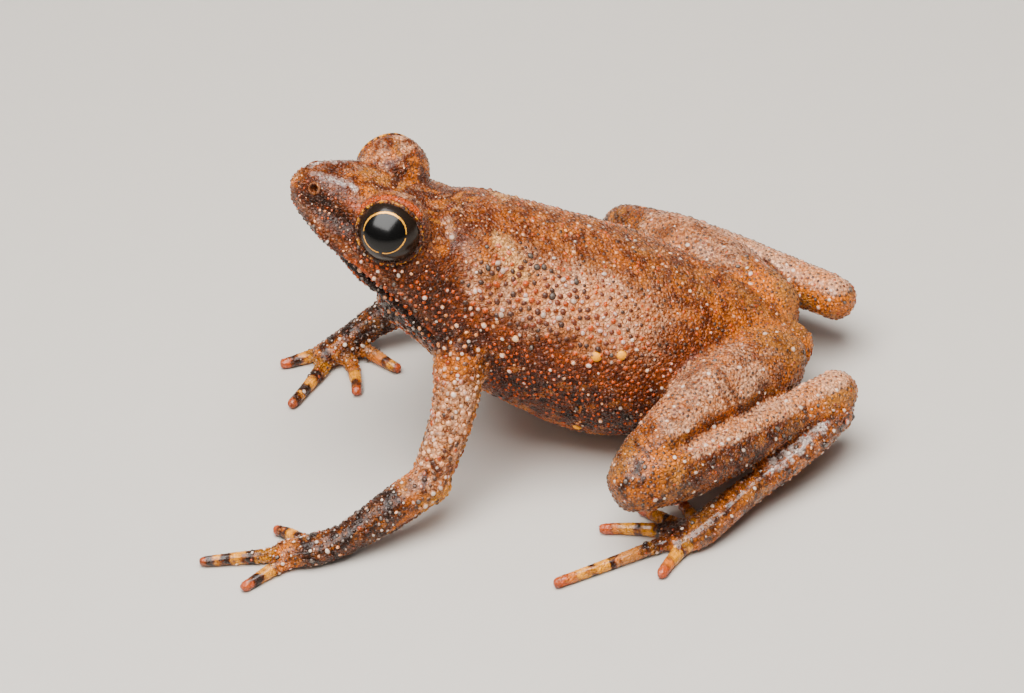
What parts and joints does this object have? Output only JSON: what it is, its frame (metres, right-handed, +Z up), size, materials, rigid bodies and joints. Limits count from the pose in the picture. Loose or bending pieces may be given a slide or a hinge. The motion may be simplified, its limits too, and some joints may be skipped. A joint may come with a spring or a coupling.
{
  "type": "small toad",
  "caption": "Life-size still model of a tiny Amazonian toad sitting alert with its head raised and its hands and feet flat on the floor.",
  "frame": {"origin": "centre of the bounding box, on the floor that the toad sits on", "axes": "+Z up from the floor, -Y the way the snout points, +X the toad's left side"},
  "size_m": [0.0188, 0.0234, 0.0117],
  "materials": {
    "back_skin": "moist granular reddish-brown skin",
    "limb_skin": "moist granular orange-brown skin",
    "digit_skin": "moist skin banded yellow and dark, with red-orange tips",
    "eye_gloss": "wet black eye with a thin gold ring"
  },
  "bodies": {
    "root": {"head": "back_skin", "torso": "back_skin", "eye_left": "eye_gloss", "eye_right": "eye_gloss", "upper_arm_left": "limb_skin", "forearm_left": "limb_skin", "hand_left": "digit_skin", "thigh_left": "limb_skin", "shank_left": "limb_skin", "tarsus_left": "limb_skin", "foot_left": "digit_skin", "upper_arm_right": "limb_skin", "forearm_right": "limb_skin", "hand_right": "digit_skin", "thigh_right": "limb_skin", "shank_right": "limb_skin", "tarsus_right": "limb_skin", "foot_right": "digit_skin"}
  },
  "joints": []
}
